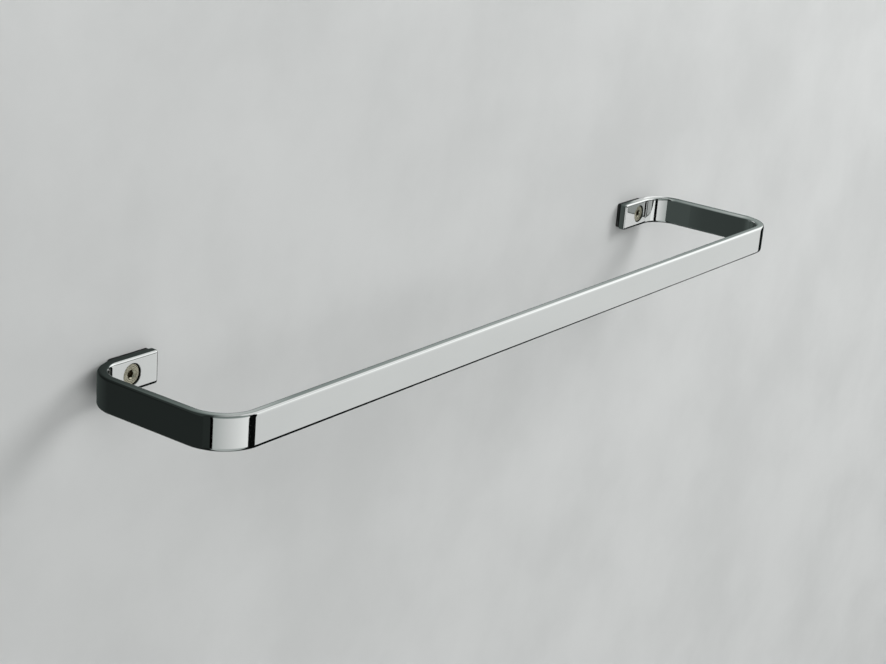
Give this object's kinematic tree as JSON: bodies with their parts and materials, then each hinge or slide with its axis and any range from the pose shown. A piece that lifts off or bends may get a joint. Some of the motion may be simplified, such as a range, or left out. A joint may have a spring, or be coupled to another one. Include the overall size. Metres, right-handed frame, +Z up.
{
  "type": "towel bar",
  "caption": "Wall-mounted towel bar: a flat bar bent into a rail with inward-turned feet, each fixed by a countersunk screw into a wall plug.",
  "frame": {"origin": "on the wall's surface, midway between the two feet and at half the height of the bar", "axes": "+X along the bar, +Y into the wall, +Z up; the bar lies on the -Y side and the plugs on the +Y side"},
  "size_m": [0.6, 0.1604, 0.02],
  "materials": {
    "polished_chrome": "polished",
    "stainless_steel": "turned",
    "black_rubber": "matt",
    "grey_nylon": "moulded"
  },
  "bodies": {
    "root": {"rail": "polished_chrome", "fixing_screw_left": "stainless_steel", "fixing_screw_right": "stainless_steel", "wall_pad_left": "black_rubber", "wall_pad_right": "black_rubber", "wall_plug_left": "grey_nylon", "wall_plug_right": "grey_nylon"}
  },
  "joints": []
}
